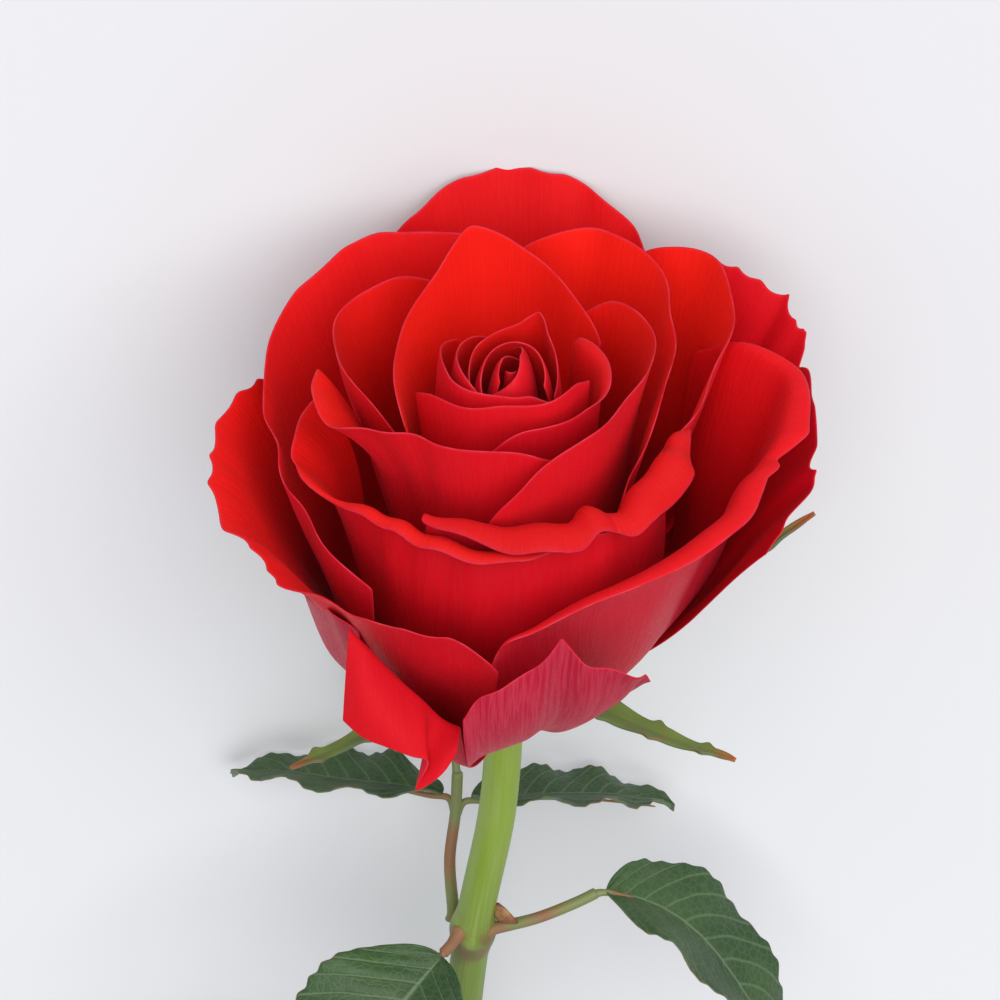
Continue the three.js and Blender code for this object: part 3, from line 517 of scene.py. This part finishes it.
leafTop = leafMaterial("leafTop", (0.020, 0.054, 0.016, 1), (0.042, 0.090, 0.027, 1), (0.13, 0.20, 0.10, 1),
                       (0.36, 0.48), 0.5, Specular_IOR_Level=0.3)
leafUnder = leafMaterial("leafUnder", (0.10, 0.17, 0.10, 1), (0.16, 0.24, 0.15, 1), (0.22, 0.30, 0.16, 1),
                         (0.55, 0.7), 0.5, Specular_IOR_Level=0.25)
leafMargin = patchyMaterial("leafMargin", {
    "tones": [(0.08, 0.13, 0.06, 1), (0.16, 0.10, 0.05, 1)], "patch": 200.0, "edges": (0.4, 0.65),
    "rough": (0.5, 0.65), "gloss": 0.3})
leafMaterials = [leafTop, leafUnder, leafMargin]


# A blade along its spine, looking towards face; teeth point to the tip.
def bladePiece(name, blade, look, materials, node):
    bm = bmesh.new()
    bmesh.ops.create_grid(bm, x_segments=look["across"], y_segments=look["along"], size=1)
    place = bm.verts.layers.float_vector.new("bladePlace")
    spine = [blade["base"], blade["middle"], blade["tip"]]
    for vert in bm.verts:
        v, t = vert.co.x, (vert.co.y + 1) / 2
        v = math.copysign(abs(v) ** 0.8, v)  # more columns near the edges
        centre = bezier(spine, t)
        along = (bezier(spine, min(1, t + 0.01)) - bezier(spine, max(0, t - 0.01))).normalized()
        side = along.cross(Vector(blade["face"])).normalized()
        up = side.cross(along).normalized()
        half = blade["width"] * look["shape"](t)
        saw = (t * look["teeth"] + 0.5 * (v > 0)) % 1
        alongEdge = ease(abs(v), 0.75, 1) * ease(t, 0.03, 0.15) * ease(1.02 - t, 0, 0.1)
        tooth = look["toothSize"] * (1 - saw) * alongEdge
        half += tooth
        point = centre + side * half * v + up * half * look["fold"] * abs(v)
        point += along * tooth * 0.8
        ripple = look["ripple"] * math.sin(math.tau * (t * look["ripples"] + 0.25 * (v > 0))) * abs(v) ** 2
        panel = abs(math.sin(math.pi * (t * sideVeins - abs(v) ** 1.3 * 2.2)))
        puff = look["puff"] * panel * (1 - abs(v)) * abs(v) * 4
        point += up * (ripple + puff)
        vert[place] = (v, t, 0)
        vert.co = toWorld @ uneven(point, look["fieldSize"], look["uneven"])
    return addPiece(name, bm, materials, [node], wallAndSmooth(look["thickness"]))


leafLook = {"across": 20, "along": 72, "teeth": 15, "toothSize": 1.1, "fold": 0.25, "ripple": 0.9,
            "puff": 0.35, "ripples": 3.5, "uneven": 1.2, "fieldSize": 22, "thickness": 0.4,
            "shape": lambda t: 0.47 * math.sin(math.pi * t ** 0.85) ** 0.75 + 0.004}
leaves = [
    {"name": "leaf_behind", "stalk": [[-9, 4.4, -74], [-9.6, 8.5, -65], [-8.6, 13, -58], [-8.2, 16.4, -51]],
     "blades": {
         "left": {"base": [-11, 15.8, -57], "middle": [-28, 21, -56], "tip": [-48, 27, -64],
                  "face": [0.1, 0.42, 0.9], "width": 17},
         "right": {"base": [-5.8, 15, -57], "middle": [12, 20, -60], "tip": [30, 24, -70],
                   "face": [0, 0.42, 0.9], "width": 15},
         "end": {"base": [-9, 19, -49], "middle": [-15, 27, -40], "tip": [-22, 36, -24],
                 "face": [0.1, -0.5, 0.8], "width": 19}}},
    {"name": "leaf_right", "stalk": [[-1.6, -1.5, -71], [5, -1.5, -68.5], [12, 0, -66], [15.4, 1, -64.6]],
     "blades": {
         "blade": {"base": [17, 1, -64.6], "middle": [35, 2, -65], "tip": [53, -18, -103],
                   "face": [0.45, 0.1, 0.89], "width": 23}}},
    {"name": "leaf_front",
     "stalk": [[-8.6, -3.6, -71.4], [-9.3, -4.8, -71.5], [-10, -5.7, -71.6], [-10.6, -6.4, -71.7]],
     "blades": {
         "blade": {"base": [-11, -7.0, -71.8], "middle": [-22, -19, -75], "tip": [-37, -43, -95],
                   "face": [-0.1, -0.3, 0.95], "width": 31}}},
    {"name": "leaf_low", "stalk": [[-13.4, 1, -166], [-24, 2, -160], [-44, 6, -158], [-66, 10, -160]],
     "blades": {
         "near_up": {"base": [-26, 3.4, -157.6], "middle": [-30, 4, -146], "tip": [-38, 8, -130],
                     "face": [0.3, -0.9, 0.3], "width": 19},
         "near_down": {"base": [-27, 3.4, -162.4], "middle": [-31, 4, -176], "tip": [-42, 9, -192],
                       "face": [0.2, -0.9, -0.2], "width": 20},
         "far_up": {"base": [-47, 7.4, -155.8], "middle": [-52, 7, -144], "tip": [-62, 13, -128],
                    "face": [0.3, -0.9, 0.3], "width": 22},
         "far_down": {"base": [-48, 7.4, -160.6], "middle": [-54, 7, -174], "tip": [-66, 14, -190],
                      "face": [0.2, -0.9, -0.2], "width": 22},
         "end": {"base": [-68, 10.6, -160.4], "middle": [-84, 9, -164], "tip": [-104, 17, -172],
                 "face": [0.2, -0.95, 0], "width": 25}}},
]


# A round tube along a curve, closed at its ends; radius is a function of the share along and the turn.
def addTube(bm, points, radius, around, along):
    place = bm.verts.layers.float_vector.get("stemPlace") or bm.verts.layers.float_vector.new("stemPlace")
    skin = bmesh.ops.create_grid(bm, x_segments=around, y_segments=along, size=1)["verts"]
    for vert in skin:
        turn, t = (vert.co.x + 1) * math.pi, (vert.co.y + 1) / 2
        centre = through(points, t)
        ahead = (through(points, min(1, t + 0.004)) - through(points, max(0, t - 0.004))).normalized()
        side = ahead.cross(Vector((0.3, 1, 0.1))).normalized()
        other = ahead.cross(side)
        vert[place] = (turn / math.tau, t, centre.z)
        vert.co = toWorld @ (centre + (side * math.cos(turn) + other * math.sin(turn)) * radius(t, turn))
    bmesh.ops.remove_doubles(bm, verts=skin, dist=1e-6)
    bmesh.ops.holes_fill(bm, edges=[edge for edge in bm.edges if edge.is_boundary], sides=0)
    bmesh.ops.recalc_face_normals(bm, faces=bm.faces)


stalkSkin = patchyMaterial("stalkSkin", {
    "tones": [(0.17, 0.20, 0.07, 1), (0.24, 0.12, 0.06, 1)], "patch": 90.0, "edges": (0.42, 0.62),
    "rough": (0.42, 0.6), "gloss": 0.35, "grit": 1500.0, "bump": 0.3})

# A stalk leaves the stem, and a fine rib runs from it under each blade.
stalkBuild = {"radius": 1.0, "footFlare": 0.7, "footReach": 1.6, "around": 14, "along": 36}
rib = {"end": 0.16, "below": 0.45, "shares": (0.06, 0.3, 0.6, 0.9), "around": 10, "along": 30, "stations": 40,
       "stationsBack": 3}


def stalkRadius(t, turn):
    return stalkBuild["radius"] + stalkBuild["footFlare"] * (1 - t) ** 5


def ribRadius(t, turn):
    return mix(stalkBuild["radius"], rib["end"], t ** 0.6)


for leaf in leaves:
    bm = bmesh.new()
    first, second = Vector(leaf["stalk"][0]), Vector(leaf["stalk"][1])
    route = [first + (first - second).normalized() * stalkBuild["footReach"]] + leaf["stalk"]
    addTube(bm, route, stalkRadius, stalkBuild["around"], stalkBuild["along"])
    stations = [through(route, i / rib["stations"]) for i in range(rib["stations"] + 1)]
    for bladeName, blade in leaf["blades"].items():
        spine = [blade["base"], blade["middle"], blade["tip"]]
        base = Vector(blade["base"])
        nearest = min(range(len(stations)), key=lambda i: (stations[i] - base).length)
        down = Vector(blade["face"]).normalized() * -rib["below"]
        line = [stations[max(0, nearest - rib["stationsBack"])], stations[nearest].lerp(base, 0.5)]
        line += [bezier(spine, t) + down for t in rib["shares"]]
        addTube(bm, line, ribRadius, rib["around"], rib["along"])
        node = leaf["name"] + "_" + bladeName
        bladePiece(node.replace("leaf", "leafy"), blade, leafLook, leafMaterials, node)
    stalkName = leaf["name"] + "_stalk"
    addPiece(stalkName.replace("leaf", "leafy"), bm, [stalkSkin], [stalkName], smoothOnly)
print("leaves made")

# prickles: [share along the stem, azimuth]; nodes: the heights where a leaf leaves and the stem swells.
stem = {"prickles": [(0.36, 70), (0.47, -35), (0.66, 150), (0.74, 20), (0.85, -80), (0.93, 100)],
        "prickleLength": 4.6, "prickleSink": 0.6, "prickleHalf": (0.75, 2.2), "prickleHook": 2.2,
        "swell": 0.9, "swellHalf": 3.5, "ridges": 0.06, "around": 32, "along": 220,
        "top": -16.4, "radiusTop": 3.0, "radiusEnd": 3.5, "nodes": [-73, -166],
        "line": [[0, 0, 0.6], [-1.4, 0, -25], [-5.6, 0, -57], [-9, 0, -110], [-9, 0, -190], [-4, 0, -275]]}
stemPoints = [[x, y, z + stem["top"]] for x, y, z in stem["line"]]


def stemRadius(t, turn):
    radius = mix(stem["radiusTop"], stem["radiusEnd"], t)
    z = through(stemPoints, t).z
    swell = sum(stem["swell"] * math.exp(-((z - node) / stem["swellHalf"]) ** 2) for node in stem["nodes"])
    return radius + swell + stem["ridges"] * math.sin(5 * turn)


stemFinish = {"young": (0.215, 0.32, 0.03, 1), "old": (0.12, 0.19, 0.03, 1), "streak": (0.32, 0.38, 0.14, 1),
              "brown": (0.14, 0.075, 0.03, 1), "brownHeight": -74.0}
stemSkin, nodes, shader = newMaterial("stemSkin", Specular_IOR_Level=0.4)
place = nodes.split(nodes.attribute("stemPlace"))
lines = nodes.add("ShaderNodeCombineXYZ", {0: nodes.math("MULTIPLY", place[0], 40.0),
                                           1: nodes.math("MULTIPLY", place[1], 9.0)}).outputs[0]
streak = nodes.cloud(lines, 1.0, 2.0)
down = nodes.spread(place[1], 0.16, 0.6)
stemTone = nodes.blend(down, stemFinish["young"], stemFinish["old"])
stemTone = nodes.blend(nodes.spread(streak, 0.35, 0.75, 0.0, 0.35), stemTone, stemFinish["streak"])
fromNode = nodes.math("ABSOLUTE", nodes.math("SUBTRACT", place[2], stemFinish["brownHeight"]))
nearNode = nodes.spread(fromNode, 1.0, 9.0, 0.8, 0.0)
local = nodes.local()
patch = nodes.cloud(local, 150.0, 3.0)
brown = nodes.math("MULTIPLY", nearNode, nodes.spread(patch, 0.35, 0.6))
stemTone = nodes.blend(brown, stemTone, stemFinish["brown"])
nodes.link(stemTone, shader["Base Color"])
nodes.link(nodes.spread(streak, 0.3, 0.7, 0.4, 0.55), shader["Roughness"])
nodes.link(nodes.bump(streak, 0.25, 0.0003), shader["Normal"])
prickleSkin = patchyMaterial("prickleSkin", {
    "tones": [(0.20, 0.075, 0.035, 1), (0.30, 0.17, 0.06, 1)], "patch": 400.0, "edges": (0.4, 0.6),
    "rough": (0.35, 0.5), "gloss": 0.4})


bm = bmesh.new()
addTube(bm, stemPoints, stemRadius, stem["around"], stem["along"])
wide, tall = stem["prickleHalf"]
for along, azimuth in stem["prickles"]:
    thorn = bmesh.ops.create_cone(bm, cap_ends=True, segments=12, radius1=1, radius2=0.08, depth=1)["verts"]
    at = through(stemPoints, along)
    outward = polar(azimuth, 1, 0)
    sideways = outward.cross(Vector((0, 0, 1)))
    for vert in thorn:
        high = vert.co.z + 0.5
        reach = stem["radiusTop"] - stem["prickleSink"] + high * (stem["prickleLength"] + stem["prickleSink"])
        base = 1 + 0.9 * (1 - high) ** 3
        local = outward * reach + sideways * vert.co.x * wide * base
        local.z += vert.co.y * tall * base - stem["prickleHook"] * high ** 2
        vert.co = toWorld @ (at + local)
    for face in {face for vert in thorn for face in vert.link_faces}:
        face.material_index = 1
addPiece("stemRod", bm, [stemSkin, prickleSkin], ["stem"], smoothOnly)
print("stem made")

hipSkin = patchyMaterial("hipSkin", {
    "tones": [(0.25, 0.33, 0.09, 1), (0.18, 0.25, 0.07, 1)], "patch": 120.0, "detail": 3.0,
    "edges": (0.4, 0.65), "rough": (0.45, 0.6), "gloss": 0.3, "grit": 1300.0, "bump": 0.25})
hip = {"bottom": -16.6, "top": -2.2, "profile": [3.1, 4.8, 6.4, 7.3, 7.2, 6.7, 7.0, 7.8, 9.0, 9.6],
       "lobes": 0.12, "around": 40, "along": 30}


def hipRadius(t, turn):
    return through([[r, i, 0] for i, r in enumerate(hip["profile"])], t).x + hip["lobes"] * math.sin(5 * turn)


bm = bmesh.new()
hipLine = [[0, 0, height] for height in (hip["bottom"], (hip["bottom"] + hip["top"]) / 2, hip["top"])]
addTube(bm, hipLine, hipRadius, hip["around"], hip["along"])
addPiece("hipCup", bm, [hipSkin], ["hip"], smoothOnly)


# A sepal turns rust red towards its tip.
def sepalMaterial(name, green, rough):
    material, nodes, shader = newMaterial(name, Specular_IOR_Level=0.25, Sheen_Weight=0.15)
    place = nodes.split(nodes.attribute("bladePlace"))
    local = nodes.local()
    patch = nodes.cloud(local, 260.0, 3.0)
    rust = nodes.math("MULTIPLY", nodes.spread(place[1], 0.84, 1.0), nodes.spread(patch, 0.3, 0.6, 0.6, 1.0))
    speckle = nodes.math("MULTIPLY", nodes.spread(patch, 0.6, 0.7), 0.5)
    colour = nodes.blend(nodes.math("MAXIMUM", rust, speckle), green, (0.34, 0.085, 0.020, 1))
    nodes.link(colour, shader["Base Color"])
    nodes.link(nodes.spread(patch, 0.3, 0.7, *rough), shader["Roughness"])
    lines = nodes.add("ShaderNodeCombineXYZ",
                      {0: nodes.math("MULTIPLY", place[0], 7.0), 1: place[1]}).outputs[0]
    grain = nodes.cloud(lines, 1.0, 2.0)
    nodes.link(nodes.bump(grain, 0.4, 0.0004), shader["Normal"])
    return material


sepalMaterials = [sepalMaterial("sepalTop", (0.13, 0.20, 0.045, 1), (0.5, 0.65)),
                  sepalMaterial("sepalUnder", (0.17, 0.25, 0.065, 1), (0.55, 0.7)), leafMargin]


# A sepal narrows from its foot, with three small side teeth beyond its first third.
def sepalShape(t):
    return 0.38 * (1 - t) ** 0.8 + 0.045 + 0.10 * max(0, math.sin(24 * t)) ** 6 * (t > 0.3)


sepalLook = {"across": 14, "along": 70, "teeth": 0, "toothSize": 0, "fold": 0.35, "ripple": 0.35, "puff": 0.0,
             "ripples": 3.5, "uneven": 0.8, "fieldSize": 22, "thickness": 0.5, "shape": sepalShape}
# azimuth, reach and height of each sepal's tip
sepals = {"right": (62, 40, -7), "back_right": (111, 51.5, 9), "back": (176, 36, 3),
          "back_left": (-121, 44, 10), "left": (-58, 39, -6)}
sepalFoot = (6.9, -7.6)  # radius and height where a sepal leaves the hip
for name, (azimuth, reach, tip) in sepals.items():
    blade = {"base": polar(azimuth, *sepalFoot), "middle": polar(azimuth, 0.55 * reach, sepalFoot[1] - 1),
             "tip": polar(azimuth, reach, tip), "face": polar(azimuth, -0.3, 1), "width": 7}
    bladePiece("sepalBlade_" + name, blade, sepalLook, sepalMaterials, "sepal_" + name)
print("hip and sepals made")

studio = {"floor": [(0.69, 0.70, 0.72, 1), (0.71, 0.72, 0.74, 1)], "floorHalf": 20,
          "sky": (0.93, 0.95, 1.0, 1), "skyStrength": 0.5}
floorMaterial, nodes, shader = newMaterial("studioFloor", Specular_IOR_Level=0.1)
cloud = nodes.cloud(nodes.local(), 1.5)
paper = nodes.blend(cloud, *studio["floor"])
nodes.link(paper, shader["Base Color"])
nodes.link(nodes.spread(cloud, 0.3, 0.7, 0.85, 0.95), shader["Roughness"])
bm = bmesh.new()
bmesh.ops.create_grid(bm, x_segments=2, y_segments=2, size=studio["floorHalf"])
floorMesh = bpy.data.meshes.new("studioFloor")
bm.to_mesh(floorMesh)
bm.free()
floorMesh.materials.append(floorMaterial)
floor = bpy.data.objects.new("studioFloor", floorMesh)
scene.collection.objects.link(floor)

lamps = {
    "key": {"energy": 2.8, "angle": 70, "from": (-0.30, -0.80, 1.1), "color": (1.0, 0.98, 0.96)},
    "fill": {"energy": 0.4, "angle": 90, "from": (0.5, -0.6, 0.8), "color": (0.94, 0.97, 1.0)},
}
for name, lamp in lamps.items():
    light = bpy.data.lights.new(name, "SUN")
    light.energy, light.angle, light.color = lamp["energy"], math.radians(lamp["angle"]), lamp["color"]
    holder = bpy.data.objects.new(name, light)
    holder.rotation_euler = Vector(lamp["from"]).to_track_quat("Z", "Y").to_euler()
    scene.collection.objects.link(holder)
world = bpy.data.worlds.new("studio")
world.use_nodes = True
sky = world.node_tree.nodes["Background"].inputs
sky["Color"].default_value, sky["Strength"].default_value = studio["sky"], studio["skyStrength"]
scene.world = world

# The camera looks at the flower from its front and top, 45 degrees above its face.
view = {"target": (-1.0, 0.0, 30.4), "elevation": 45, "distance": 480, "sensor": 36, "lens": 116.47}
rise = math.radians(view["elevation"])
look = Vector((0, math.sin(rise), -math.cos(rise)))
up = Vector((0, math.cos(rise), math.sin(rise)))
camera = bpy.data.objects.new("camera", bpy.data.cameras.new("camera"))
camera.data.sensor_width, camera.data.lens = view["sensor"], view["lens"]
camera.data.clip_start, camera.data.clip_end = 0.01, 20
scene.collection.objects.link(camera)
turn = roseTurn.to_3x3()
back, above = turn @ -look, turn @ up
camera.matrix_world = Matrix.Translation(toWorld @ (Vector(view["target"]) - look * view["distance"])) @ \
    Matrix((above.cross(back), above, back)).transposed().to_4x4()
scene.camera = camera
scene.view_settings.view_transform = "Standard"
print("stage set")
